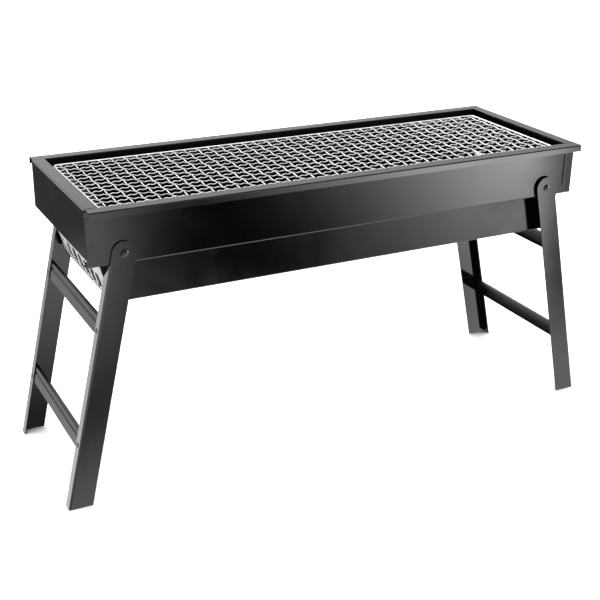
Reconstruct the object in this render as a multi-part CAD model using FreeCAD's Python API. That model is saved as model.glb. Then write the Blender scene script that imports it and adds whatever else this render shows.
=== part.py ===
import FreeCAD, Part
import math
import os

# Folding charcoal camp grill in painted sheet steel, standing open on its two leg frames.
# Millimetres. +X along the grill's length, -Y its front, +Z up, floor at Z = 0.
# Origin: the middle of the footprint, on the floor. One STEP file is written for each sub-part.

# Driving dimensions of the body
BODY_LENGTH = 600.0
BODY_WIDTH = 190.0
RIM_HEIGHT = 331.0
PANEL_BOTTOM = 269.0
END_PANEL_BOTTOM = 276.5
SHEET = 1.0
BEND_RADIUS = 0.8
RIM_FLANGE = 13.5
RIM_LIP_DROP = 7.5
RIM_LIP_FLARE = 0.5
RIM_RELIEF_DEPTH = 3.0
PANEL_FLOOR_FLANGE = 9.8
END_BAND_WIDTH = 14.0
END_HEM_WIDTH = 12.5
REAR_CORNER_CUT = 7.5
WRAP_WIDTH = 13.0
WRAP_BOTTOM = 281.0
WRAP_TOP = 321.0
SPOT_WELD_RADIUS = 1.8
SPOT_WELD_HEIGHT = 0.25
SPOT_WELD_HEIGHTS = (292.0, 310.0)

# Cooking mesh and the ledges that it rests on
MESH_LENGTH = 561.0
MESH_WIDTH = 172.6
MESH_CENTRE_HEIGHT = 324.0
BORDER_WIRE_RADIUS = 1.25
BORDER_CORNER_RADIUS = 5.0
MESH_WIRE_RADIUS = 0.825
MESH_WIRE_GAP = 0.05
MESH_END_GAP = 0.15
CROSS_WIRE_COUNT = 38
CROSS_WIRE_PITCH = 14.65
LONG_WIRE_COUNT = 13
LONG_WIRE_PITCH = 12.6
LEDGE_HEIGHT = 322.0
LEDGE_REACH = 31.0
LEDGE_BACK_TOP = 328.5
LEDGE_WIDTH = 160.0

# Charcoal tray, which hangs from the floor flanges of the front and rear panels
TRAY_WIDTH = 168.0
TRAY_BOTTOM = 223.3
TRAY_BOTTOM_LENGTH = 544.0
TRAY_END_SLOPE = 0.28
TRAY_FLANGE_WIDTH = 7.0
TRAY_END_TOP = 265.0
TRAY_END_FOOT = 6.0
VENT_COUNT = 6
VENT_PITCH = 21.0
VENT_WIDTH = 13.0
VENT_CORNER_RADIUS = 3.0
VENT_BOTTOM = 227.5
VENT_TOP = 246.5
GRATE_LENGTH = 516.0
GRATE_WIDTH = 161.0
GRATE_HEIGHT = 236.0
GRATE_HOLE_RADIUS = 3.5
GRATE_HOLE_COLUMNS = 21
GRATE_HOLE_ROWS = 6
GRATE_HOLE_PITCH = 24.0

# Leg frames. The right-hand frame is wider, so that it folds over the left-hand one.
PIVOT_X = 261.3
PIVOT_ABOVE_PANEL_BOTTOM = 11.4
LEG_SPLAY_DEG = 12.5
LEG_WIDTH = 26.0
LEG_SHEET = 1.2
LEG_FLANGE = 12.0
LEG_STOP_GAP = 0.2
LEG_ROUGH_LENGTH = 310.0
LEFT_LEG_OUTER_Y = 97.0
RIGHT_LEG_OUTER_Y = 98.7
CROSSBAR_DISTANCES = {"upper": 83.0, "lower": 212.0}
CROSSBAR_HEIGHT = 20.0
CROSSBAR_DEPTH = 4.6
CROSSBAR_HALF_LENGTH = 93.2
CROSSBAR_NOTCH_MARGIN = 2.5
BEAD_OFFSET = 3.5
BEAD_HALF_WIDTH = 2.2
BEAD_DEPTH = 1.2
BEAD_RADIUS = 0.4

# Rivets and washers
PIVOT_SHANK_RADIUS = 2.5
PIVOT_HOLE_RADIUS = 2.56
PIVOT_HEAD_RADIUS = 4.3
PIVOT_HEAD_HEIGHT = 2.0
PIVOT_TAIL_RADIUS = 4.0
PIVOT_TAIL_HEIGHT = 1.6
PIVOT_SIDE_PLAY = 0.1
WASHER_RADIUS = 7.5
BAR_SHANK_RADIUS = 1.6
BAR_HOLE_RADIUS = 1.7
BAR_HEAD_RADIUS = 3.0
BAR_HEAD_HEIGHT = 1.0
BAR_TAIL_RADIUS = 2.6
BAR_TAIL_HEIGHT = 0.8
BAR_RIVET_Y = 89.8

# Worked out from the driving dimensions
HALF_LENGTH = BODY_LENGTH / 2
HALF_WIDTH = BODY_WIDTH / 2
INNER_HALF_WIDTH = HALF_WIDTH - SHEET
INNER_HALF_LENGTH = HALF_LENGTH - SHEET
PIVOT_Z = PANEL_BOTTOM + PIVOT_ABOVE_PANEL_BOTTOM
FLANGE_INNER_FACE = -LEG_WIDTH / 2 + LEG_SHEET
TRAY_TOP = PANEL_BOTTOM + 2 * SHEET
FAR = 1000.0

# How far a cutter passes beyond the metal that it cuts
OVERCUT = 1.0

X_AXIS = FreeCAD.Vector(1, 0, 0)
Y_AXIS = FreeCAD.Vector(0, 1, 0)
Z_AXIS = FreeCAD.Vector(0, 0, 1)
ORIGIN = FreeCAD.Vector(0, 0, 0)


# ---------------------------------------------------------------- folded sheet metal

def in_yz(u, v, w):
    """A point of a cross-section drawn across the grill's length."""
    return FreeCAD.Vector(w, u, v)


def in_xz(u, v, w):
    """A point of a cross-section drawn across the grill's width."""
    return FreeCAD.Vector(u, w, v)


def in_xy(u, v, w):
    """A point of a cross-section drawn in plan."""
    return FreeCAD.Vector(u, v, w)


def offset_path(path, distance):
    """A mitred copy of a flat path, moved to the left of its direction of travel."""
    points = [FreeCAD.Vector(u, v, 0) for u, v in path]
    runs = [(b - a).normalize() for a, b in zip(points, points[1:])]
    lefts = [FreeCAD.Vector(-run.y, run.x, 0) for run in runs]
    moved = [points[0] + lefts[0] * distance]
    for point, before, after in zip(points[1:-1], lefts, lefts[1:]):
        mitre = (before + after) * (1 / (1 + before.dot(after)))
        moved.append(point + mitre * distance)
    moved.append(points[-1] + lefts[-1] * distance)
    return [(point.x, point.y) for point in moved]


def turn_at(path, index):
    """The signed turn of a flat path at one of its points, positive to the left."""
    (ax, ay), (bx, by), (cx, cy) = path[index - 1:index + 2]
    first = math.atan2(by - ay, bx - ax)
    second = math.atan2(cy - by, cx - bx)
    return (second - first + math.pi) % (2 * math.pi) - math.pi


def rounded_edges(path, radii, place):
    """Straight edges along a path, with a tangent arc of the given radius at each corner."""
    points = [FreeCAD.Vector(u, v, 0) for u, v in path]
    edges = []
    start = points[0]
    for index in range(1, len(points) - 1):
        corner = points[index]
        arriving = (corner - points[index - 1]).normalize()
        leaving = (points[index + 1] - corner).normalize()
        half_turn = abs(turn_at(path, index)) / 2
        reach = radii[index] * math.tan(half_turn)
        arc_start = corner - arriving * reach
        arc_end = corner + leaving * reach
        inward = (leaving - arriving).normalize()
        rise = radii[index] * (1 / math.cos(half_turn) - 1)
        arc_middle = corner + inward * rise
        edges.append(Part.LineSegment(place(start), place(arc_start)).toShape())
        edges.append(Part.Arc(place(arc_start), place(arc_middle), place(arc_end)).toShape())
        start = arc_end
    edges.append(Part.LineSegment(place(start), place(points[-1])).toShape())
    return edges


def bent_sheet(path, thickness, plane, start, end, radius=BEND_RADIUS):
    """A folded sheet: path is one of its two faces, and the metal is on the left of it.

    A negative thickness puts the metal on the right. The cross-section runs from start to end
    across the plane that it is drawn in.
    """
    def place(point):
        return plane(point.x, point.y, start)

    other = offset_path(path, thickness)
    path_radii = [0.0] * len(path)
    other_radii = [0.0] * len(path)
    for index in range(1, len(path) - 1):
        on_outside = turn_at(path, index) * thickness > 0
        path_radii[index] = radius + abs(thickness) if on_outside else radius
        other_radii[index] = radius if on_outside else radius + abs(thickness)
    edges = rounded_edges(path, path_radii, place) + rounded_edges(other, other_radii, place)
    for (au, av), (bu, bv) in ((path[0], other[0]), (path[-1], other[-1])):
        edges.append(Part.LineSegment(plane(au, av, start), plane(bu, bv, start)).toShape())
    outline = Part.Wire(Part.__sortEdges__(edges))
    travel = plane(0, 0, end) - plane(0, 0, start)
    return Part.Face(outline).extrude(travel)


def box(x_range, y_range, z_range):
    """A box between two limits along each axis."""
    size = [high - low for low, high in (x_range, y_range, z_range)]
    corner = FreeCAD.Vector(x_range[0], y_range[0], z_range[0])
    return Part.makeBox(*size, corner)


def rod(radius, start, end):
    """A round rod or hole between two points."""
    line = end - start
    return Part.makeCylinder(radius, line.Length, start, line)


def front_to_rear(shape):
    """The same sub-part on the other side of the grill."""
    return shape.mirror(ORIGIN, Y_AXIS)


def left_to_right(shape):
    """The same sub-part at the other end of the grill."""
    return shape.mirror(ORIGIN, X_AXIS)


# ---------------------------------------------------------------- body

def front_panel():
    """Long panel with a floor flange for the tray, a rolled-out rim and a turned-down lip.

    Below the end panels its corners reach the grill's full length; above, the end panels close it.
    """
    rim_outer = HALF_WIDTH + RIM_FLANGE
    path = [
        (-HALF_WIDTH + PANEL_FLOOR_FLANGE, PANEL_BOTTOM + SHEET),
        (-INNER_HALF_WIDTH, PANEL_BOTTOM + SHEET),
        (-INNER_HALF_WIDTH, RIM_HEIGHT),
        (-rim_outer, RIM_HEIGHT),
        (-rim_outer - RIM_LIP_FLARE, RIM_HEIGHT - RIM_LIP_DROP),
    ]
    panel = bent_sheet(path, SHEET, in_yz, -HALF_LENGTH, HALF_LENGTH)
    beside_end_panel = box((INNER_HALF_LENGTH, FAR), (-FAR, FAR), (END_PANEL_BOTTOM, FAR))
    panel = panel.cut(beside_end_panel).cut(left_to_right(beside_end_panel))
    for x in (-PIVOT_X, PIVOT_X):
        outside = FreeCAD.Vector(x, -HALF_WIDTH - OVERCUT, PIVOT_Z)
        inside = FreeCAD.Vector(x, -INNER_HALF_WIDTH + OVERCUT, PIVOT_Z)
        panel = panel.cut(rod(PIVOT_HOLE_RADIUS, outside, inside))
    for distance in CROSSBAR_DISTANCES.values():
        notch = crossbar_notch(PIVOT_X - distance)
        panel = panel.cut(notch).cut(left_to_right(notch))
    return panel


def rear_panel():
    """The other long panel, with its lower corners cut away below the end panels."""
    panel = front_to_rear(front_panel())
    corner = box(
        (HALF_LENGTH - REAR_CORNER_CUT, HALF_LENGTH),
        (-HALF_WIDTH, HALF_WIDTH),
        (PANEL_BOTTOM, END_PANEL_BOTTOM),
    )
    return panel.cut(corner).cut(left_to_right(corner))


def crossbar_notch(x):
    """Cutter for the notch in a floor flange that a folded crossbar lies in."""
    half = CROSSBAR_HEIGHT / 2 + CROSSBAR_NOTCH_MARGIN
    across = (-INNER_HALF_WIDTH, -HALF_WIDTH + PANEL_FLOOR_FLANGE + OVERCUT)
    through = (PANEL_BOTTOM - OVERCUT, PANEL_BOTTOM + SHEET + OVERCUT)
    return box((x - half, x + half), across, through)


def left_end_panel():
    """End panel with a flat top band, a turned-in bottom hem and two wrapped side flanges."""
    path = [
        (-HALF_LENGTH + END_BAND_WIDTH, RIM_HEIGHT),
        (-HALF_LENGTH, RIM_HEIGHT),
        (-HALF_LENGTH, END_PANEL_BOTTOM),
        (-HALF_LENGTH + END_HEM_WIDTH, END_PANEL_BOTTOM),
    ]
    panel = bent_sheet(path, SHEET, in_xz, -HALF_WIDTH, HALF_WIDTH)
    wrap_outer = HALF_WIDTH + SHEET
    wrap_path = [
        (-HALF_LENGTH, -HALF_WIDTH + WRAP_WIDTH),
        (-HALF_LENGTH, -wrap_outer),
        (-HALF_LENGTH + WRAP_WIDTH, -wrap_outer),
    ]
    wrap = bent_sheet(wrap_path, SHEET, in_xy, WRAP_BOTTOM, WRAP_TOP)
    rim_relief = box(
        (-INNER_HALF_LENGTH, -HALF_LENGTH + END_BAND_WIDTH + OVERCUT),
        (-HALF_WIDTH, -INNER_HALF_WIDTH),
        (RIM_HEIGHT - RIM_RELIEF_DEPTH, RIM_HEIGHT),
    )
    panel = panel.cut(rim_relief).cut(front_to_rear(rim_relief))
    panel = panel.fuse([wrap, front_to_rear(wrap)]).removeSplitter()
    return panel.cut(front_panel()).cut(front_to_rear(front_panel()))


def left_mesh_ledge():
    """Angle strip inside the end panel, on which one end of the cooking mesh rests."""
    path = [
        (-INNER_HALF_LENGTH, LEDGE_BACK_TOP),
        (-INNER_HALF_LENGTH, LEDGE_HEIGHT - SHEET),
        (-INNER_HALF_LENGTH + LEDGE_REACH, LEDGE_HEIGHT - SHEET),
    ]
    return bent_sheet(path, SHEET, in_xz, -LEDGE_WIDTH / 2, LEDGE_WIDTH / 2)


def corner_spot_welds():
    """Raised weld nuggets that hold the wrapped flanges, two at each corner."""
    face = -HALF_WIDTH - SHEET
    middle = HALF_LENGTH - WRAP_WIDTH / 2
    welds = []
    for x in (-middle, middle):
        for z in SPOT_WELD_HEIGHTS:
            base = FreeCAD.Vector(x, face, z)
            top = FreeCAD.Vector(x, face - SPOT_WELD_HEIGHT, z)
            weld = rod(SPOT_WELD_RADIUS, base, top)
            welds += [weld, front_to_rear(weld)]
    return Part.makeCompound(welds)


# ---------------------------------------------------------------- charcoal tray

def tray_end_x(z):
    """How far the sloping end of the tray stands from the middle at a height."""
    return TRAY_BOTTOM_LENGTH / 2 + (z - TRAY_BOTTOM) * TRAY_END_SLOPE


def tray_trough():
    """Floor and two long walls of the tray in one sheet, with hanging flanges."""
    inner = TRAY_WIDTH / 2 - SHEET
    flange_end = TRAY_WIDTH / 2 + TRAY_FLANGE_WIDTH
    floor = TRAY_BOTTOM + SHEET
    path = [
        (-flange_end, TRAY_TOP),
        (-inner, TRAY_TOP),
        (-inner, floor),
        (inner, floor),
        (inner, TRAY_TOP),
        (flange_end, TRAY_TOP),
    ]
    trough = bent_sheet(path, -SHEET, in_yz, -HALF_LENGTH, HALF_LENGTH)
    low, high = TRAY_BOTTOM, TRAY_TOP
    corners = [
        in_xz(-tray_end_x(low), low, -FAR),
        in_xz(tray_end_x(low), low, -FAR),
        in_xz(tray_end_x(high), high, -FAR),
        in_xz(-tray_end_x(high), high, -FAR),
    ]
    side_view = Part.Face(Part.makePolygon(corners + corners[:1]))
    return trough.common(side_view.extrude(Y_AXIS * 2 * FAR))


def vent(y):
    """Cutter for one upright vent slot with rounded corners."""
    block = box(
        (-HALF_LENGTH, -TRAY_BOTTOM_LENGTH / 2 + TRAY_END_FOOT),
        (y - VENT_WIDTH / 2, y + VENT_WIDTH / 2),
        (VENT_BOTTOM, VENT_TOP),
    )
    lengthways = [edge for edge in block.Edges if edge.BoundBox.XLength > edge.BoundBox.YLength
                  and edge.BoundBox.XLength > edge.BoundBox.ZLength]
    return block.makeFillet(VENT_CORNER_RADIUS, lengthways)


def left_tray_end():
    """Sloping vented end plate, standing on a foot flange on the tray's floor."""
    floor = TRAY_BOTTOM + SHEET
    path = [
        (-tray_end_x(floor) + TRAY_END_FOOT, floor),
        (-tray_end_x(floor), floor),
        (-tray_end_x(TRAY_END_TOP), TRAY_END_TOP),
    ]
    inner = TRAY_WIDTH / 2 - SHEET
    plate = bent_sheet(path, -SHEET, in_xz, -inner, inner)
    for index in range(VENT_COUNT):
        plate = plate.cut(vent((index - (VENT_COUNT - 1) / 2) * VENT_PITCH))
    return plate.cut(tray_trough())


def charcoal_grate():
    """Perforated plate that keeps the charcoal off the tray's floor."""
    half = GRATE_WIDTH / 2
    floor = TRAY_BOTTOM + SHEET
    path = [(-half, floor), (-half, GRATE_HEIGHT), (half, GRATE_HEIGHT), (half, floor)]
    plate = bent_sheet(path, -SHEET, in_yz, -GRATE_LENGTH / 2, GRATE_LENGTH / 2)
    holes = []
    for column in range(GRATE_HOLE_COLUMNS):
        x = (column - (GRATE_HOLE_COLUMNS - 1) / 2) * GRATE_HOLE_PITCH
        for row in range(GRATE_HOLE_ROWS):
            y = (row - (GRATE_HOLE_ROWS - 1) / 2) * GRATE_HOLE_PITCH
            top = FreeCAD.Vector(x, y, GRATE_HEIGHT + OVERCUT)
            bottom = FreeCAD.Vector(x, y, GRATE_HEIGHT - SHEET - OVERCUT)
            holes.append(rod(GRATE_HOLE_RADIUS, bottom, top))
    return plate.cut(Part.makeCompound(holes))


# ---------------------------------------------------------------- cooking mesh

def mesh_border_wire():
    """Thick wire bent into a long rectangle with round corners."""
    half_x = MESH_LENGTH / 2 - BORDER_WIRE_RADIUS
    half_y = MESH_WIDTH / 2 - BORDER_WIRE_RADIUS
    path = [
        (0, half_y),
        (-half_x, half_y),
        (-half_x, -half_y),
        (half_x, -half_y),
        (half_x, half_y),
        (0, half_y),
    ]
    radii = [BORDER_CORNER_RADIUS] * len(path)

    def place(point):
        return FreeCAD.Vector(point.x, point.y, MESH_CENTRE_HEIGHT)

    spine = Part.Wire(rounded_edges(path, radii, place))
    start = FreeCAD.Vector(0, half_y, MESH_CENTRE_HEIGHT)
    section = Part.Wire(Part.makeCircle(BORDER_WIRE_RADIUS, start, X_AXIS))
    return spine.makePipeShell([section], True, False)


def mesh_wires(count, pitch, half_span, along_x, height):
    """A row of parallel straight wires across the inside of the border."""
    wires = []
    for index in range(count):
        place = (index - (count - 1) / 2) * pitch
        if along_x:
            start = FreeCAD.Vector(-half_span, place, height)
            end = FreeCAD.Vector(half_span, place, height)
        else:
            start = FreeCAD.Vector(place, -half_span, height)
            end = FreeCAD.Vector(place, half_span, height)
        wires.append(rod(MESH_WIRE_RADIUS, start, end))
    return Part.makeCompound(wires)


def mesh_cross_wires():
    """The short wires, which run from front to rear over the long ones."""
    span = MESH_WIDTH / 2 - 2 * BORDER_WIRE_RADIUS - MESH_END_GAP
    height = MESH_CENTRE_HEIGHT + MESH_WIRE_RADIUS + MESH_WIRE_GAP / 2
    return mesh_wires(CROSS_WIRE_COUNT, CROSS_WIRE_PITCH, span, False, height)


def mesh_long_wires():
    """The long wires, which run from end to end under the short ones."""
    span = MESH_LENGTH / 2 - 2 * BORDER_WIRE_RADIUS - MESH_END_GAP
    height = MESH_CENTRE_HEIGHT - MESH_WIRE_RADIUS - MESH_WIRE_GAP / 2
    return mesh_wires(LONG_WIRE_COUNT, LONG_WIRE_PITCH, span, True, height)


# ---------------------------------------------------------------- leg frames

def splayed(shape):
    """Moves a piece drawn upright below the origin to its place on the left-hand pivot."""
    leaning = shape.copy()
    leaning.rotate(ORIGIN, Y_AXIS, LEG_SPLAY_DEG)
    leaning.translate(FreeCAD.Vector(-PIVOT_X, 0, PIVOT_Z))
    return leaning


def crossbar_rivet_z(distance):
    """Height of a crossbar's rivets below the pivot, along the leg."""
    return -distance - BEAD_OFFSET


def left_front_leg(outer_y):
    """Angle-section leg with a round pivot end; outer_y is how far out its face stands."""
    half = LEG_WIDTH / 2
    path = [(half, -outer_y), (-half, -outer_y), (-half, -outer_y + LEG_FLANGE)]
    angle = bent_sheet(path, -LEG_SHEET, in_xy, -LEG_ROUGH_LENGTH, 0)
    for distance in CROSSBAR_DISTANCES.values():
        z = crossbar_rivet_z(distance)
        start = FreeCAD.Vector(-half - OVERCUT, -BAR_RIVET_Y, z)
        end = FreeCAD.Vector(FLANGE_INNER_FACE + OVERCUT, -BAR_RIVET_Y, z)
        angle = angle.cut(rod(BAR_HOLE_RADIUS, start, end))
    plate = box((-half, half), (-outer_y, -outer_y + LEG_SHEET), (-LEG_ROUGH_LENGTH, 0))
    outer_face = FreeCAD.Vector(0, -outer_y, 0)
    inner_face = FreeCAD.Vector(0, -outer_y + LEG_SHEET, 0)
    top = plate.fuse(rod(half, outer_face, inner_face))
    top = top.cut(rod(PIVOT_HOLE_RADIUS, outer_face, inner_face))
    stop_height = PANEL_BOTTOM - LEG_STOP_GAP
    below_panel = box((-FAR, FAR), (-FAR, FAR), (0, stop_height))
    beside_panel = box((-FAR, FAR), (-FAR, FAR), (stop_height, FAR))
    lower = splayed(angle).common(below_panel)
    upper = splayed(top).common(beside_panel)
    return lower.fuse(upper).removeSplitter()


def left_crossbar(distance):
    """Shallow channel between two legs, with a stiffening bead pressed along it."""
    web = FLANGE_INNER_FACE
    lip = web + CROSSBAR_DEPTH
    top = -distance + CROSSBAR_HEIGHT / 2
    bottom = -distance - CROSSBAR_HEIGHT / 2
    bead = -distance + BEAD_OFFSET
    path = [
        (lip, top),
        (web, top),
        (web, bead + BEAD_HALF_WIDTH),
        (web + BEAD_DEPTH, bead),
        (web, bead - BEAD_HALF_WIDTH),
        (web, bottom),
        (lip, bottom),
    ]
    bar = bent_sheet(path, SHEET, in_xz, -CROSSBAR_HALF_LENGTH, CROSSBAR_HALF_LENGTH, BEAD_RADIUS)
    z = crossbar_rivet_z(distance)
    for side in (-BAR_RIVET_Y, BAR_RIVET_Y):
        start = FreeCAD.Vector(web - OVERCUT, side, z)
        end = FreeCAD.Vector(lip + OVERCUT, side, z)
        bar = bar.cut(rod(BAR_HOLE_RADIUS, start, end))
    return splayed(bar)


def rivet(head_radius, head_height, shank_radius, grip, tail_radius, tail_height):
    """Domed rivet along +Z, with the underside of its head at the origin."""
    dome_radius = (head_radius ** 2 + head_height ** 2) / (2 * head_height)
    half_angle = math.asin(head_radius / dome_radius) / 2
    middle = FreeCAD.Vector(
        dome_radius * math.sin(half_angle), 0,
        head_height - dome_radius + dome_radius * math.cos(half_angle),
    )
    crown = FreeCAD.Vector(0, 0, head_height)
    outline = [
        FreeCAD.Vector(head_radius, 0, 0),
        FreeCAD.Vector(shank_radius, 0, 0),
        FreeCAD.Vector(shank_radius, 0, -grip),
        FreeCAD.Vector(tail_radius, 0, -grip),
        FreeCAD.Vector(tail_radius, 0, -grip - tail_height),
        FreeCAD.Vector(0, 0, -grip - tail_height),
        crown,
    ]
    edges = [Part.Arc(crown, middle, outline[0]).toShape()]
    for start, end in zip(outline, outline[1:]):
        edges.append(Part.LineSegment(start, end).toShape())
    return Part.Face(Part.Wire(edges)).revolve(ORIGIN, Z_AXIS, 360)


def left_crossbar_rivets():
    """Small rivets that fix both crossbars to the flanges of the legs."""
    grip = LEG_SHEET + SHEET
    fastener = rivet(
        BAR_HEAD_RADIUS, BAR_HEAD_HEIGHT, BAR_SHANK_RADIUS, grip, BAR_TAIL_RADIUS, BAR_TAIL_HEIGHT
    )
    fastener.rotate(ORIGIN, Y_AXIS, -90)
    rivets = []
    for distance in CROSSBAR_DISTANCES.values():
        for side in (-1, 1):
            placed = fastener.copy()
            z = crossbar_rivet_z(distance)
            placed.translate(FreeCAD.Vector(-LEG_WIDTH / 2, side * BAR_RIVET_Y, z))
            rivets.append(splayed(placed))
    return Part.makeCompound(rivets)


def left_pivot_rivets(outer_y):
    """The two large rivets on which a leg frame turns."""
    head_base = outer_y + PIVOT_SIDE_PLAY
    grip = head_base - INNER_HALF_WIDTH
    fastener = rivet(
        PIVOT_HEAD_RADIUS, PIVOT_HEAD_HEIGHT, PIVOT_SHANK_RADIUS, grip, PIVOT_TAIL_RADIUS, PIVOT_TAIL_HEIGHT
    )
    fastener.rotate(ORIGIN, X_AXIS, 90)
    fastener.translate(FreeCAD.Vector(-PIVOT_X, -head_base, PIVOT_Z))
    return Part.makeCompound([fastener, front_to_rear(fastener)])


def left_pivot_washers(outer_y):
    """Washers that hold the legs off the panels."""
    panel = FreeCAD.Vector(-PIVOT_X, -HALF_WIDTH, PIVOT_Z)
    leg = FreeCAD.Vector(-PIVOT_X, -outer_y + LEG_SHEET + PIVOT_SIDE_PLAY, PIVOT_Z)
    ring = rod(WASHER_RADIUS, panel, leg).cut(rod(PIVOT_HOLE_RADIUS, panel, leg))
    return Part.makeCompound([ring, front_to_rear(ring)])


# ---------------------------------------------------------------- writing the sub-parts

def leg_frame(side, outer_y, to_side):
    """Every sub-part of one leg frame and its pivots, by node name."""
    leg = left_front_leg(outer_y)
    frame = {
        side + "_front_leg": leg,
        side + "_rear_leg": front_to_rear(leg),
        side + "_crossbar_rivets": left_crossbar_rivets(),
        side + "_pivot_rivets": left_pivot_rivets(outer_y),
        side + "_pivot_washers": left_pivot_washers(outer_y),
    }
    for level, distance in CROSSBAR_DISTANCES.items():
        frame[side + "_" + level + "_crossbar"] = left_crossbar(distance)
    return {name: to_side(shape) for name, shape in frame.items()}


def all_parts():
    """Every sub-part of the grill by node name."""
    parts = {
        "front_panel": front_panel(),
        "rear_panel": rear_panel(),
        "left_end_panel": left_end_panel(),
        "right_end_panel": left_to_right(left_end_panel()),
        "left_mesh_ledge": left_mesh_ledge(),
        "right_mesh_ledge": left_to_right(left_mesh_ledge()),
        "corner_spot_welds": corner_spot_welds(),
        "tray_trough": tray_trough(),
        "left_tray_end": left_tray_end(),
        "right_tray_end": left_to_right(left_tray_end()),
        "charcoal_grate": charcoal_grate(),
        "mesh_border_wire": mesh_border_wire(),
        "mesh_cross_wires": mesh_cross_wires(),
        "mesh_long_wires": mesh_long_wires(),
    }
    parts.update(leg_frame("left", LEFT_LEG_OUTER_Y, lambda shape: shape))
    parts.update(leg_frame("right", RIGHT_LEG_OUTER_Y, left_to_right))
    return parts


def main():
    """Writes each sub-part and prints its volume and validity."""
    os.makedirs("parts", exist_ok=True)
    for name, shape in all_parts().items():
        shape.exportStep("parts/" + name + ".step")
        print(name, len(shape.Solids), "solids", round(shape.Volume, 1), "mm3 valid", shape.isValid())


main()
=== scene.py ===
"""The looks of a folding camp grill: finishes, woven cooking mesh, weld beads and a plain studio.

Everything is in metres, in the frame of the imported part: +X to the right end, +Y to the rear
side, +Z up from the ground.
"""

import logging
import math
from collections.abc import Callable
from dataclasses import dataclass, field
from enum import Enum
from typing import Any, Protocol

import bmesh
import bpy
from mathutils import Matrix, Vector


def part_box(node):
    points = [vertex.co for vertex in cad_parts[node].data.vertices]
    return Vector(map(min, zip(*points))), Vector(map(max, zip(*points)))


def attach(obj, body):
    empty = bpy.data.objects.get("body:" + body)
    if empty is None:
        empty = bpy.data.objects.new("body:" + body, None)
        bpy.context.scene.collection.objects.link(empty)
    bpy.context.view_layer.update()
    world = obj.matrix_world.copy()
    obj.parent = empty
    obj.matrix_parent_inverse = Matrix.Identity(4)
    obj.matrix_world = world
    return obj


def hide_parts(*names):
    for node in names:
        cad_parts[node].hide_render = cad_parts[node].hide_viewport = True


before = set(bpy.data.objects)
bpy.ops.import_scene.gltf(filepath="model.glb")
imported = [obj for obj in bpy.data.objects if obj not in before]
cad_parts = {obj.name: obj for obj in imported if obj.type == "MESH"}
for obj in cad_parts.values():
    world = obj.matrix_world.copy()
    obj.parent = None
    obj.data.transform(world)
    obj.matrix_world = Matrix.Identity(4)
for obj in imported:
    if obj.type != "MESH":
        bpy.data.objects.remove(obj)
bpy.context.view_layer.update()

LOG = logging.getLogger("camp_grill")
MM = 0.001
# Numbers of the colour sockets on Blender's Mix node.
MIX_FIRST, MIX_SECOND, MIX_RESULT = 6, 7, 2
# Paint where the spray lands thin and dry: matt, with next to no shine.
THIN_ROUGHNESS, THIN_SPECULAR = 0.6, 0.12

Socket = bpy.types.NodeSocket
Tree = bpy.types.NodeTree


def linear(colour: str) -> tuple[float, float, float, float]:
    """Turns an sRGB hex colour into linear light.

    Args:
        colour: Six hex digits after a hash sign.

    Returns:
        Red, green, blue and an alpha of 1.
    """
    parts = [int(colour[i : i + 2], 16) / 255 for i in (1, 3, 5)]
    red, green, blue = (
        p / 12.92 if p <= 0.04045 else ((p + 0.055) / 1.055) ** 2.4 for p in parts
    )
    return red, green, blue, 1.0


def add_node(
    tree: Tree, kind: str, inputs: dict[int | str, Any] | None = None, **settings: Any
) -> bpy.types.Node:
    """Adds one shader node with its settings, values and links.

    Args:
        tree: The node tree that it goes in.
        kind: Blender's name for the node type, without its "ShaderNode".
        inputs: Value or source socket for each input, by name or number.
        **settings: Properties of the node itself.

    Returns:
        The new node.
    """
    node = tree.nodes.new("ShaderNode" + kind)
    for name, value in settings.items():
        setattr(node, name, value)
    for name, value in (inputs or {}).items():
        if isinstance(value, Socket):
            tree.links.new(value, node.inputs[name])
        else:
            node.inputs[name].default_value = value
    return node


def new_material(name: str) -> tuple[bpy.types.Material, Tree, bpy.types.Node, Socket]:
    """Makes a node material with one Principled shader on its output.

    Args:
        name: The finish's name.

    Returns:
        The material, its tree, the shader node and the object's own coordinates.
    """
    material = bpy.data.materials.new(name)
    material.use_nodes = True
    tree = material.node_tree
    tree.nodes.clear()
    shader = add_node(tree, "BsdfPrincipled")
    add_node(tree, "OutputMaterial", {"Surface": shader.outputs[0]})
    place = add_node(tree, "TexCoord").outputs["Object"]
    return material, tree, shader, place


def edge_mask(tree: Tree, width: float, breakup: Socket) -> Socket:
    """Finds the edges and tight folds of sheet metal, thinned in places by a pattern.

    Args:
        tree: The material's tree.
        width: How far from the edge the mask reaches, in metres.
        breakup: A pattern from 0 to 1.

    Returns:
        A mask that is 0 on flat metal and up to 1 on an edge.
    """
    rounded = add_node(tree, "Bevel", {"Radius": width}, samples=4)
    surface = add_node(tree, "NewGeometry")
    alike = add_node(
        tree,
        "VectorMath",
        {0: rounded.outputs[0], 1: surface.outputs["Normal"]},
        operation="DOT_PRODUCT",
    )
    edge = add_node(
        tree, "MapRange", {0: alike.outputs["Value"], 1: 0.995, 2: 0.85, 3: 0.0, 4: 1.0}
    )
    mask = {0: edge.outputs[0], 1: breakup}
    return add_node(tree, "Math", mask, operation="MULTIPLY").outputs[0]


class Finish(Protocol):
    """Anything that can make a material for a slot of the record."""

    slot: str

    def material(self) -> bpy.types.Material:
        """Builds the node material."""


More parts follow.
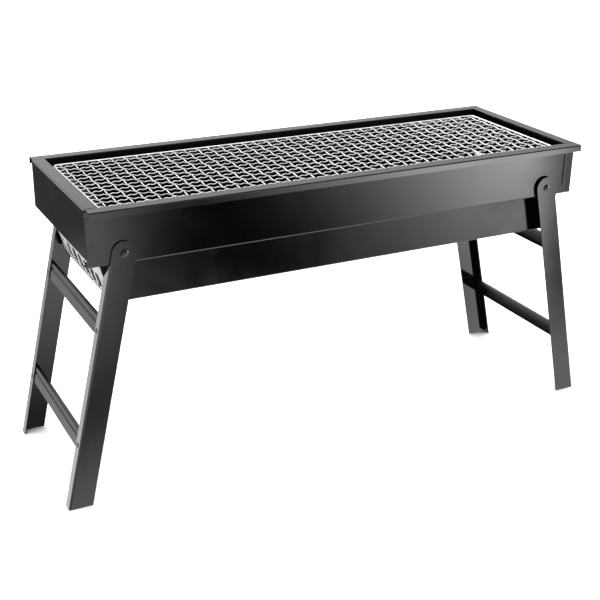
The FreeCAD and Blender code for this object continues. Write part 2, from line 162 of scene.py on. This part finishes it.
@dataclass(frozen=True)
class PowderCoat:
    """Powder or stoving paint, sprayed on steel and baked.

    It flows out to a shallow orange peel, lies thinner over folded edges, where a lighter colour
    stands for the thin coat and is also a painted highlight along the folds, holds a few dust
    nibs, and its gloss drifts from place to place.
    """

    name: str
    slot: str
    colour: str
    # The colour on folded edges: partly the thinner coat, partly a painted highlight along the
    # folds.
    thin_coat_and_highlight_colour: str
    roughness: float
    gloss_drift: float
    specular: float
    peel_mm: float
    peel_height_mm: float
    edge_mm: float = 0.9
    # Half length, half width and top of the hollow whose inside stays thin and matt.
    hollow_mm: tuple[float, float, float] | None = None

    def inside(
        self, tree: Tree, place: Socket, hollow_mm: tuple[float, float, float]
    ) -> Socket:
        """Finds the coat's inside, where little of the spray lands.

        Args:
            tree: The material's tree.
            place: The object's own coordinates.
            hollow_mm: Half length, half width and top of the hollow.

        Returns:
            A mask that is 1 inside the hollow.
        """
        axes = add_node(tree, "SeparateXYZ", {0: place})
        mask: Socket | float = 1.0
        for number, limit in enumerate(hollow_mm):
            reach = axes.outputs[number]
            if number < 2:
                reach = add_node(tree, "Math", {0: reach}, operation="ABSOLUTE").outputs[0]
            within = {0: reach, 1: limit * MM}
            within_axis = add_node(tree, "Math", within, operation="LESS_THAN").outputs[0]
            both = {0: mask, 1: within_axis}
            mask = add_node(tree, "Math", both, operation="MULTIPLY").outputs[0]
        return mask

    def material(self) -> bpy.types.Material:
        """Builds the paint's node material.

        Returns:
            The finished material.
        """
        material, tree, shader, place = new_material(self.name)
        peel = add_node(
            tree,
            "TexNoise",
            {"Vector": place, "Scale": 1 / (self.peel_mm * MM), "Detail": 1.5},
        ).outputs[0]
        # The gun's passes leave hand-wide bands that are a little duller.
        flow = add_node(
            tree,
            "TexNoise",
            {"Vector": place, "Scale": 1 / (55 * MM), "Detail": 3.0, "Distortion": 0.5},
        ).outputs[0]
        cells = add_node(tree, "TexVoronoi", {"Vector": place, "Scale": 1 / (14 * MM)})
        # Dust nibs are 0.3 mm across; they are drawn at about 1 mm so that they show.
        nib = add_node(
            tree,
            "MapRange",
            {0: cells.outputs["Distance"], 1: 0.03, 2: 0.07, 3: 1.0, 4: 0.0},
            interpolation_type="SMOOTHSTEP",
        ).outputs[0]
        edge = edge_mask(tree, self.edge_mm * MM, flow)
        # Folded edges are painted a shade lighter: partly the thinner coat, partly a painted
        # highlight along the folds.
        colour = add_node(
            tree,
            "Mix",
            {0: edge, MIX_FIRST: linear(self.colour), MIX_SECOND: linear(self.thin_coat_and_highlight_colour)},
            data_type="RGBA",
        ).outputs[MIX_RESULT]
        low, high = self.roughness - self.gloss_drift, self.roughness + self.gloss_drift
        gloss = add_node(tree, "MapRange", {0: flow, 1: 0.3, 2: 0.7, 3: low, 4: high})
        sheen = gloss.outputs[0]
        shader.inputs["Specular IOR Level"].default_value = self.specular
        if self.hollow_mm is not None:
            inside = self.inside(tree, place, self.hollow_mm)
            matt = {0: inside, 2: sheen, 3: THIN_ROUGHNESS}
            sheen = add_node(tree, "Mix", matt, data_type="FLOAT").outputs[0]
            dull = {0: inside, 2: self.specular, 3: THIN_SPECULAR}
            shine = add_node(tree, "Mix", dull, data_type="FLOAT").outputs[0]
            tree.links.new(shine, shader.inputs["Specular IOR Level"])
        height = add_node(
            tree, "Math", {0: nib, 1: 0.6, 2: peel}, operation="MULTIPLY_ADD"
        ).outputs[0]
        bump = add_node(
            tree, "Bump", {"Height": height, "Distance": self.peel_height_mm * MM}
        ).outputs[0]
        tree.links.new(colour, shader.inputs["Base Color"])
        tree.links.new(sheen, shader.inputs["Roughness"])
        tree.links.new(bump, shader.inputs["Normal"])
        return material


class GrainAlong(Enum):
    """The way in which a drawn or rolled surface carries its fine lines."""

    X = (0.03, 1.0, 1.0)
    Y = (1.0, 0.03, 1.0)
    NONE = (1.0, 1.0, 1.0)


@dataclass(frozen=True)
class ChromePlate:
    """Bright chromium over drawn steel wire.

    It mirrors the studio sharply, but the die's draw lines streak it lengthways and the plating
    clouds where the bath ran thin.
    """

    name: str
    slot: str
    bright: str
    cloud: str
    roughness: float
    grain: GrainAlong
    line_mm: float = 0.35

    def material(self) -> bpy.types.Material:
        """Builds the plating's node material.

        Returns:
            The finished material.
        """
        material, tree, shader, place = new_material(self.name)
        drawn = add_node(tree, "Mapping", {"Vector": place, "Scale": self.grain.value})
        lines = add_node(
            tree,
            "TexNoise",
            {"Vector": drawn.outputs[0], "Scale": 1 / (self.line_mm * MM), "Detail": 2.0},
        ).outputs[0]
        clouds = add_node(
            tree, "TexNoise", {"Vector": place, "Scale": 1 / (22 * MM), "Detail": 4.0}
        ).outputs[0]
        thin = add_node(tree, "MapRange", {0: clouds, 1: 0.45, 2: 0.75, 3: 0.0, 4: 0.8})
        colour = add_node(
            tree,
            "Mix",
            {0: thin.outputs[0], MIX_FIRST: linear(self.bright), MIX_SECOND: linear(self.cloud)},
            data_type="RGBA",
        ).outputs[MIX_RESULT]
        gloss = add_node(
            tree,
            "MapRange",
            {0: lines, 1: 0.3, 2: 0.75, 3: self.roughness * 0.6, 4: self.roughness * 1.5},
        ).outputs[0]
        bump = add_node(tree, "Bump", {"Height": lines, "Distance": 0.01 * MM}).outputs[0]
        tree.links.new(colour, shader.inputs["Base Color"])
        tree.links.new(gloss, shader.inputs["Roughness"])
        tree.links.new(bump, shader.inputs["Normal"])
        shader.inputs["Metallic"].default_value = 1.0
        return material


@dataclass(frozen=True)
class ZincPlate:
    """Bright zinc on rolled sheet.

    Crystals a few millimetres wide tilt the light by turns, over faint rolling lines. The foot
    that is welded to the tray's floor is coloured near-black as painted shade, so that the vent
    slots look as dark as the shaded inside of the tray.
    """

    name: str
    slot: str
    light: str
    dark: str
    roughness: float
    spangle_mm: float
    # How far out the foot reaches, and its top.
    foot_mm: tuple[float, float]
    # Painted shade: the foot's near-black, which makes the vent slots read dark.
    foot_shade_colour: str = "#060606"

    def material(self) -> bpy.types.Material:
        """Builds the zinc's node material.

        Returns:
            The finished material.
        """
        material, tree, shader, place = new_material(self.name)
        warped = add_node(
            tree, "TexNoise", {"Vector": place, "Scale": 1 / (4 * MM), "Detail": 2.0}
        )
        wobble = add_node(
            tree,
            "VectorMath",
            {0: warped.outputs[1], 1: (1.5 * MM,) * 3, 2: place},
            operation="MULTIPLY_ADD",
        ).outputs[0]
        crystal = add_node(
            tree, "TexVoronoi", {"Vector": wobble, "Scale": 1 / (self.spangle_mm * MM)}
        )
        shade = add_node(tree, "SeparateColor", {0: crystal.outputs["Color"]}).outputs[0]
        rolled = add_node(tree, "Mapping", {"Vector": place, "Scale": (1.0, 0.05, 1.0)})
        lines = add_node(
            tree, "TexNoise", {"Vector": rolled.outputs[0], "Scale": 1 / (0.6 * MM)}
        ).outputs[0]
        edge = edge_mask(tree, 0.8 * MM, lines)
        tone = add_node(
            tree, "Math", {0: shade, 1: 0.7, 2: edge}, operation="MULTIPLY_ADD", use_clamp=True
        ).outputs[0]
        colour = add_node(
            tree,
            "Mix",
            {0: tone, MIX_FIRST: linear(self.light), MIX_SECOND: linear(self.dark)},
            data_type="RGBA",
        ).outputs[MIX_RESULT]
        gloss = add_node(
            tree,
            "MapRange",
            {0: shade, 1: 0.0, 2: 1.0, 3: self.roughness * 0.8, 4: self.roughness * 1.25},
        ).outputs[0]
        bump = add_node(tree, "Bump", {"Height": lines, "Distance": 0.006 * MM}).outputs[0]
        foot = self.foot(tree, place)
        # The foot is coloured near-black and made non-metallic: painted shade, so that the vent
        # slots read as dark as the shaded inside of the tray.
        foot_painted_shade = add_node(
            tree,
            "Mix",
            {0: foot, MIX_FIRST: colour, MIX_SECOND: linear(self.foot_shade_colour)},
            data_type="RGBA",
        ).outputs[MIX_RESULT]
        zinc_off_foot = add_node(tree, "Math", {0: 1.0, 1: foot}, operation="SUBTRACT").outputs[0]
        tree.links.new(foot_painted_shade, shader.inputs["Base Color"])
        tree.links.new(gloss, shader.inputs["Roughness"])
        tree.links.new(bump, shader.inputs["Normal"])
        tree.links.new(zinc_off_foot, shader.inputs["Metallic"])
        shader.inputs["Specular IOR Level"].default_value = THIN_SPECULAR
        return material

    def foot(self, tree: Tree, place: Socket) -> Socket:
        """Finds the foot of the plate.

        Args:
            tree: The material's node tree.
            place: Object coordinates.

        Returns:
            1 on the foot, 0 elsewhere.
        """
        reach, height = self.foot_mm
        axes = add_node(tree, "SeparateXYZ", {0: place})
        out = add_node(tree, "Math", {0: axes.outputs[0]}, operation="ABSOLUTE").outputs[0]
        inboard = add_node(
            tree, "Math", {0: out, 1: reach * MM}, operation="LESS_THAN"
        ).outputs[0]
        low = add_node(
            tree, "Math", {0: axes.outputs[2], 1: height * MM}, operation="LESS_THAN"
        ).outputs[0]
        return add_node(tree, "Math", {0: inboard, 1: low}, operation="MULTIPLY").outputs[0]


# Gloss black polyester powder: deep black with a soft mirror on the big panels.
BODY_PAINT = PowderCoat(
    "gloss_black_powder_coat", "body_paint", "#040405", "#18181a", 0.1, 0.02, 0.5, 3.5, 0.01,
    hollow_mm=(299.5, 94.5, 329.8),
)
# Heat-resistant stoving black: baked harder and a touch flatter than the body's powder.
TRAY_PAINT = PowderCoat(
    "heat_resistant_stoving_black", "tray_paint", "#020202", "#101010", 0.16, 0.04, 0.4, 2.6, 0.01,
    hollow_mm=(300.0, 83.5, 270.5),
)
# Gloss black powder on the legs: a shade greyer than the body's.
LEG_PAINT = PowderCoat(
    "gloss_grey_black_powder_coat", "leg_paint", "#0a0a0b", "#1a1a1b", 0.08, 0.02, 0.5, 3.0, 0.01
)
# Satin black powder on the crossbars: the same grey-black, with a wider, duller sheen.
CROSSBAR_PAINT = PowderCoat(
    "satin_black_powder_coat", "crossbar_paint", "#0a0a0b", "#1a1a1b", 0.3, 0.03, 0.2, 2.2, 0.01
)
# Dipped gloss enamel on the rivet heads: wet-looking, with one sharp highlight.
RIVET_PAINT = PowderCoat(
    "dipped_black_enamel", "rivet_paint", "#080808", "#1c1c1c", 0.12, 0.03, 0.5, 1.6, 0.01, 0.4
)
# Bright chromium on drawn wire: small sharp mirrors, streaked along each wire.
CHROME_ALONG_X = ChromePlate(
    "chromed_wire_long", "chromed_wire", "#cfd0d2", "#a3a2a5", 0.2, GrainAlong.X
)
CHROME_ALONG_Y = ChromePlate(
    "chromed_wire_cross", "chromed_wire", "#d2d3d4", "#a3a29f", 0.2, GrainAlong.Y
)
# The same plating on the bent rod and its welds, whose drawing lines are scoured off.
CHROME_FRAME = ChromePlate(
    "chromed_frame_rod", "chromed_wire", "#e2e3e4", "#b0afab", 0.18, GrainAlong.NONE, 0.8
)
# Bright zinc plating on rolled sheet: the tray's end plates and the washers; the end plates' foot
# carries painted shade.
ZINC = ZincPlate(
    "bright_zinc_plated_sheet", "zinc_sheet", "#fdfdfd", "#ececee", 0.45, 6.0, (271.7, 225.7)
)


@dataclass
class Workshop:
    """Hands out each finish's material, puts it on CAD nodes and turns meshes into pieces."""

    made: dict[str, bpy.types.Material] = field(default_factory=dict)

    def material(self, finish: Finish) -> bpy.types.Material:
        """Returns the finish's material, built on its first use."""
        if finish.name not in self.made:
            self.made[finish.name] = finish.material()
        return self.made[finish.name]

    def dress(self, finish: Finish, *nodes: str) -> None:
        """Puts a finish on CAD nodes.

        Args:
            finish: The finish.
            *nodes: The nodes' names.
        """
        for name in nodes:
            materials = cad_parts[name].data.materials
            materials.clear()
            materials.append(self.material(finish))
            LOG.info("%s is finished in %s", name, finish.name)

    def piece(
        self, mesh: bmesh.types.BMesh, name: str, body: str, finish: Finish, *stands_for: str
    ) -> bpy.types.Object:
        """Turns a finished mesh into a piece that rides on a body.

        Args:
            mesh: The shape, in its place. It is freed.
            name: The piece's name.
            body: The CAD body that carries it.
            finish: Its finish.
            *stands_for: The CAD nodes that it replaces.

        Returns:
            The piece.
        """
        bmesh.ops.recalc_face_normals(mesh, faces=mesh.faces[:])
        for face in mesh.faces:
            face.smooth = True
        data = bpy.data.meshes.new(name)
        mesh.to_mesh(data)
        mesh.free()
        data.materials.append(self.material(finish))
        made = bpy.data.objects.new(name, data)
        bpy.context.scene.collection.objects.link(made)
        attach(made, body)
        if stands_for:
            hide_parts(*stands_for)
        LOG.info("%s: %d faces on %s", name, len(data.polygons), body)
        return made


@dataclass
class GrillBody:
    """The folded firebox: side panels, end panels, mesh ledges, spot welds and leg pivots."""

    shop: Workshop
    ends: tuple[str, str] = ("left", "right")

    def dress(self) -> None:
        """Paints the sheet metal and plates the washers."""
        self.shop.dress(BODY_PAINT, "front_panel", "rear_panel", "corner_spot_welds")
        for end in self.ends:
            self.shop.dress(BODY_PAINT, f"{end}_end_panel", f"{end}_mesh_ledge")
            self.shop.dress(RIVET_PAINT, f"{end}_pivot_rivets")
            self.shop.dress(ZINC, f"{end}_pivot_washers")


@dataclass
class CharcoalTray:
    """The trough for the charcoal, its slotted end plates and the grate."""

    shop: Workshop

    def dress(self) -> None:
        """Paints the trough and the grate, and leaves the end plates in bright zinc."""
        self.shop.dress(TRAY_PAINT, "tray_trough", "charcoal_grate")
        self.shop.dress(ZINC, "left_tray_end", "right_tray_end")


@dataclass
class LegFrame:
    """One end's pair of channel legs with its two pressed crossbars."""

    shop: Workshop
    side: str

    def dress(self) -> None:
        """Paints the legs, the crossbars and their rivets."""
        self.shop.dress(LEG_PAINT, f"{self.side}_front_leg", f"{self.side}_rear_leg")
        self.shop.dress(
            CROSSBAR_PAINT, f"{self.side}_upper_crossbar", f"{self.side}_lower_crossbar"
        )
        self.shop.dress(RIVET_PAINT, f"{self.side}_crossbar_rivets")


@dataclass
class CookingMesh:
    """Crimped wires woven over and under each other, welded into a rod frame."""

    shop: Workshop
    wire_radius: float = 0.825 * MM
    rod_radius: float = 1.25 * MM
    cross_wires: int = 38
    cross_pitch: float = 14.65 * MM
    long_wires: int = 13
    long_pitch: float = 12.6 * MM
    # The long wires carry nearly all of the crimp, with one extra kink inside each cell.
    long_crimp: float = 0.5 * MM
    long_kink: float = 0.6 * MM
    cross_crimp: float = 0.5 * MM
    sides: int = 8
    long_step: float = 1.5 * MM
    cross_step: float = 2.1 * MM
    bead_radius: float = 1.2 * MM

    def __post_init__(self) -> None:
        """Takes the frame rod's centre line from its CAD node."""
        low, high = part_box("mesh_border_wire")
        inset = Vector((self.rod_radius,) * 3)
        self.low, self.high = low + inset, high - inset
        self.level = (low.z + high.z) / 2

    def cross_place(self, number: int) -> float:
        """Returns the X of a cross wire."""
        return (number - (self.cross_wires - 1) / 2) * self.cross_pitch

    def long_place(self, number: int) -> float:
        """Returns the Y of a long wire."""
        return (number - (self.long_wires - 1) / 2) * self.long_pitch

    def add_wire(
        self,
        mesh: bmesh.types.BMesh,
        start: Vector,
        end: Vector,
        step: float,
        lift: Callable[[Vector], float],
    ) -> None:
        """Adds one round wire, divided along its length and crimped.

        Args:
            mesh: The mesh that it joins.
            start: The middle of its first end.
            end: The middle of its other end.
            step: The distance between its rings.
            lift: How far the crimp raises a point.
        """
        run = end - start
        turn = run.to_track_quat("Z", "Y").to_matrix().to_4x4()
        before = len(mesh.verts)
        wire = bmesh.ops.create_cone(
            mesh,
            cap_ends=True,
            segments=self.sides,
            radius1=self.wire_radius,
            radius2=self.wire_radius,
            depth=run.length,
            matrix=Matrix.Translation((start + end) / 2) @ turn,
        )
        edges = {edge for vertex in wire["verts"] for edge in vertex.link_edges}
        lengthways = [edge for edge in edges if edge.calc_length() > run.length / 2]
        bmesh.ops.subdivide_edges(
            mesh, edges=lengthways, cuts=round(run.length / step), use_grid_fill=True
        )
        mesh.verts.ensure_lookup_table()
        for vertex in mesh.verts[before:]:
            vertex.co.z += lift(vertex.co)

    def long_lift(self, row: int) -> Callable[[Vector], float]:
        """Gives the crimp of a long wire.

        Args:
            row: The wire's number, counted from the front.

        Returns:
            The height of the wire's middle over the mesh's level at a point.
        """
        sign = 1 if row % 2 else -1

        def lift(point: Vector) -> float:
            """Returns the crimp's height at a point."""
            turn = math.pi * (point.x - self.cross_place(0)) / self.cross_pitch
            return sign * (
                self.long_crimp * math.cos(turn) + self.long_kink * math.cos(3 * turn)
            )

        return lift

    def cross_lift(self, column: int) -> Callable[[Vector], float]:
        """Gives the crimp of a cross wire.

        Args:
            column: The wire's number, counted from the left.

        Returns:
            The height of the wire's middle over the mesh's level at a point.
        """
        sign = 1 if column % 2 else -1

        def lift(point: Vector) -> float:
            """Returns the crimp's height at a point."""
            turn = math.pi * (point.y - self.long_place(0)) / self.long_pitch
            return sign * self.cross_crimp * math.cos(turn)

        return lift

    def build_long_wires(self) -> bpy.types.Object:
        """Weaves the wires that run from end to end, and returns the piece."""
        mesh = bmesh.new()
        for row in range(self.long_wires):
            y = self.long_place(row)
            start = Vector((self.low.x, y, self.level))
            end = Vector((self.high.x, y, self.level))
            self.add_wire(mesh, start, end, self.long_step, self.long_lift(row))
        return self.shop.piece(
            mesh, "woven_long_wires", "cooking_mesh", CHROME_ALONG_X, "mesh_long_wires"
        )

    def build_cross_wires(self) -> bpy.types.Object:
        """Weaves the wires that run from front to rear, and returns the piece."""
        mesh = bmesh.new()
        for column in range(self.cross_wires):
            x = self.cross_place(column)
            start = Vector((x, self.low.y, self.level))
            end = Vector((x, self.high.y, self.level))
            self.add_wire(mesh, start, end, self.cross_step, self.cross_lift(column))
        return self.shop.piece(
            mesh, "woven_cross_wires", "cooking_mesh", CHROME_ALONG_Y, "mesh_cross_wires"
        )

    def build_weld_beads(self) -> bpy.types.Object:
        """Adds the flattened bead where each wire is welded to the rod, and returns the piece."""
        mesh = bmesh.new()
        places = [
            Vector((self.cross_place(column), y, self.level))
            for column in range(self.cross_wires)
            for y in (self.low.y, self.high.y)
        ] + [
            Vector((x, self.long_place(row), self.level))
            for row in range(self.long_wires)
            for x in (self.low.x, self.high.x)
        ]
        centre = Vector((0, 0, self.level))
        for place in places:
            inward = (centre - place) * Vector((1, 1, 0))
            along_y = abs(abs(place.y) - self.high.y) < self.bead_radius
            inward = Vector((0, inward.y, 0)) if along_y else Vector((inward.x, 0, 0))
            squash = Matrix.Diagonal((1.15, 1.15, 0.85, 1))
            at = Matrix.Translation(place + inward.normalized() * self.rod_radius * 0.8)
            bmesh.ops.create_uvsphere(
                mesh, u_segments=8, v_segments=5, radius=self.bead_radius, matrix=at @ squash
            )
        return self.shop.piece(mesh, "mesh_weld_beads", "cooking_mesh", CHROME_FRAME)

    def build(self) -> None:
        """Builds the wires and beads, and plates the rod frame."""
        self.build_long_wires()
        self.build_cross_wires()
        self.build_weld_beads()
        self.shop.dress(CHROME_FRAME, "mesh_border_wire")


@dataclass(frozen=True)
class Ramp:
    """One smooth step in a direction's angle or height, used to shape a soft light."""

    start: float
    end: float
    low: float = 0.0
    high: float = 1.0


@dataclass
class Studio:
    """A pale floor, a tent of soft light and the camera."""

    floor_radius: float = 14.0
    camera_place: tuple[float, float, float] = (-0.598, -1.134, 0.6875)
    yaw_deg: float = 27.24
    pitch_deg: float = -22.92
    roll_deg: float = 0.76
    lens_mm: float = 69.3
    side_panel: float = 7.6
    overhead_watts: float = 90.0

    def build_floor(self) -> None:
        """Lays the seamless pale floor."""
        mesh = bmesh.new()
        bmesh.ops.create_circle(mesh, cap_ends=True, segments=96, radius=self.floor_radius)
        data = bpy.data.meshes.new("studio_floor")
        mesh.to_mesh(data)
        mesh.free()
        material, tree, shader, place = new_material("matt_white_studio_board")
        grain = add_node(tree, "TexNoise", {"Vector": place, "Scale": 2.0}).outputs[0]
        gloss = add_node(tree, "MapRange", {0: grain, 3: 0.85, 4: 0.95}).outputs[0]
        tree.links.new(gloss, shader.inputs["Roughness"])
        shader.inputs["Base Color"].default_value = linear("#f7f7f6")
        shader.inputs["Specular IOR Level"].default_value = 0.1
        data.materials.append(material)
        floor = bpy.data.objects.new("studio_floor", data)
        bpy.context.scene.collection.objects.link(floor)
        # Gloss sees the light tent alone, as over a product table with black cards round it.
        floor.visible_glossy = False

    def build_tent(self) -> None:
        """Surrounds the scene with soft light, brightest at the rear and at the front right."""
        world = bpy.data.worlds.new("light_tent")
        bpy.context.scene.world = world
        world.use_nodes = True
        tree = world.node_tree
        tree.nodes.clear()
        direction = add_node(tree, "TexCoord").outputs["Generated"]
        axes = add_node(tree, "SeparateXYZ", {0: direction})
        x, y, z = axes.outputs[0], axes.outputs[1], axes.outputs[2]

        def ramp(value: Socket, shape: Ramp, power: float = 1.0) -> Socket:
            """Maps a socket through a clamped step.

            Args:
                value: What drives it.
                shape: Where it starts and ends.
                power: Above 1 for a slow start; 1 for an even, smooth step.

            Returns:
                The stepped value.
            """
            kind = "SMOOTHSTEP" if power == 1.0 else "LINEAR"
            step = add_node(
                tree,
                "MapRange",
                {0: value, 1: shape.start, 2: shape.end, 3: shape.low, 4: shape.high},
                interpolation_type=kind,
            ).outputs[0]
            return add_node(tree, "Math", {0: step, 1: power}, operation="POWER").outputs[0]

        def product(*values: Socket | float) -> Socket:
            """Multiplies sockets and numbers, and returns the result's socket."""
            total = values[0]
            for value in values[1:]:
                pair = {0: total, 1: value}
                total = add_node(tree, "Math", pair, operation="MULTIPLY").outputs[0]
            return total

        behind = add_node(tree, "Math", {0: y, 1: -1.0}, operation="MULTIPLY").outputs[0]
        around = add_node(tree, "Math", {0: x, 1: behind}, operation="ARCTAN2").outputs[0]
        deg = math.radians
        # The side panel leans: its near edge comes further round toward the horizon.
        lean = add_node(
            tree, "Math", {0: z, 1: deg(45.0), 2: deg(15.1)}, operation="MULTIPLY_ADD"
        ).outputs[0]
        leaning = add_node(tree, "Math", {0: around, 1: lean}, operation="ADD").outputs[0]
        table = add_node(
            tree, "Math", {0: x, 1: -0.32, 2: z}, operation="MULTIPLY_ADD"
        ).outputs[0]
        above = ramp(z, Ramp(-0.03, 0.1))
        below = ramp(z, Ramp(0.03, -0.03))
        near = ramp(z, Ramp(-0.62, -0.25))
        lights = [
            # The tent's roof, and its lower rear wall, which dims toward the right.
            product(above, ramp(z, Ramp(0.35, 0.6)), ramp(y, Ramp(-0.5, 0.5, 0.3, 2.0))),
            product(
                above,
                ramp(y, Ramp(-0.6, 0.7, 0.25, 1.5)),
                ramp(x, Ramp(0.1, 0.75, 0.8, 0.5)),
            ),
            # The side panel that the front mirrors.
            product(
                below,
                ramp(leaning, Ramp(deg(25.2), deg(40.4)), 2.1),
                ramp(around, Ramp(deg(40.6), deg(38.9))),
                near,
                self.side_panel,
            ),
            # The camera side, left of it.
            product(
                below,
                ramp(around, Ramp(deg(20.5), deg(15.5))),
                ramp(around, Ramp(deg(-70.0), deg(-30.0))),
                ramp(z, Ramp(-0.5, -0.35)),
                2.1,
            ),
            # The white table, whose lit part starts nearer toward the right.
            product(ramp(table, Ramp(-0.53, -0.62)), 2.0),
            # The backdrop behind the left end, down to the edge of the table.
            product(
                ramp(y, Ramp(0.2, 0.6)),
                ramp(x, Ramp(-0.31, -0.4)),
                ramp(z, Ramp(-0.5, -0.4)),
                ramp(z, Ramp(0.06, 0.0)),
                2.2,
            ),
            product(below, ramp(y, Ramp(0.1, 0.7)), 0.09),
            product(ramp(y, Ramp(0.1, 0.7)), ramp(z, Ramp(-0.325, -0.37)), 0.25),
            # The horizon, where the floor meets the tent.
            product(ramp(z, Ramp(-0.07, -0.045)), ramp(z, Ramp(0.06, 0.02)), 1.0),
            # Two upright strips beside the grill.
            product(ramp(x, Ramp(0.93, 0.99)), ramp(z, Ramp(0.35, 0.25)), 9.0),
            product(ramp(x, Ramp(-0.9, -0.98)), ramp(z, Ramp(0.35, 0.25)), 3.0),
        ]
        total = lights[0]
        for light in lights[1:]:
            total = add_node(tree, "Math", {0: total, 1: light}, operation="ADD").outputs[0]
        glow = add_node(
            tree, "Background", {"Color": (1.0, 1.0, 1.0, 1.0), "Strength": total}
        )
        add_node(tree, "OutputWorld", {"Surface": glow.outputs[0]})

    def build_overhead(self) -> None:
        """Hangs a wide lamp that lifts the floor to white without a mirror image of itself."""
        lamp = bpy.data.lights.new("overhead_softbox", "AREA")
        lamp.shape, lamp.size, lamp.energy = "DISK", 3.0, self.overhead_watts
        hung = bpy.data.objects.new("overhead_softbox", lamp)
        hung.location = (0.0, 0.0, 2.6)
        hung.visible_glossy = False
        hung.visible_camera = False
        bpy.context.scene.collection.objects.link(hung)

    def build_camera(self) -> None:
        """Stands the camera in front, left of the grill and above it."""
        data = bpy.data.cameras.new("studio_camera")
        data.lens, data.sensor_width = self.lens_mm, 36.0
        data.clip_start, data.clip_end = 0.05, 60.0
        camera = bpy.data.objects.new("studio_camera", data)
        turn = (
            Matrix.Rotation(math.radians(-self.yaw_deg), 4, "Z")
            @ Matrix.Rotation(math.radians(90 + self.pitch_deg), 4, "X")
            @ Matrix.Rotation(math.radians(self.roll_deg), 4, "Z")
        )
        camera.matrix_world = Matrix.Translation(self.camera_place) @ turn
        bpy.context.scene.collection.objects.link(camera)
        bpy.context.scene.camera = camera

    def build(self) -> None:
        """Builds the floor, the lights and the camera."""
        self.build_floor()
        self.build_tent()
        self.build_overhead()
        self.build_camera()
        bpy.context.scene.view_settings.view_transform = "Standard"


def main() -> None:
    """Builds every sub-assembly in order, then the studio."""
    logging.basicConfig(level=logging.INFO, format="%(message)s")
    shop = Workshop()
    GrillBody(shop).dress()
    CharcoalTray(shop).dress()
    CookingMesh(shop).build()
    for side in ("left", "right"):
        LegFrame(shop, side).dress()
    Studio().build()


if __name__ == "__main__":
    main()
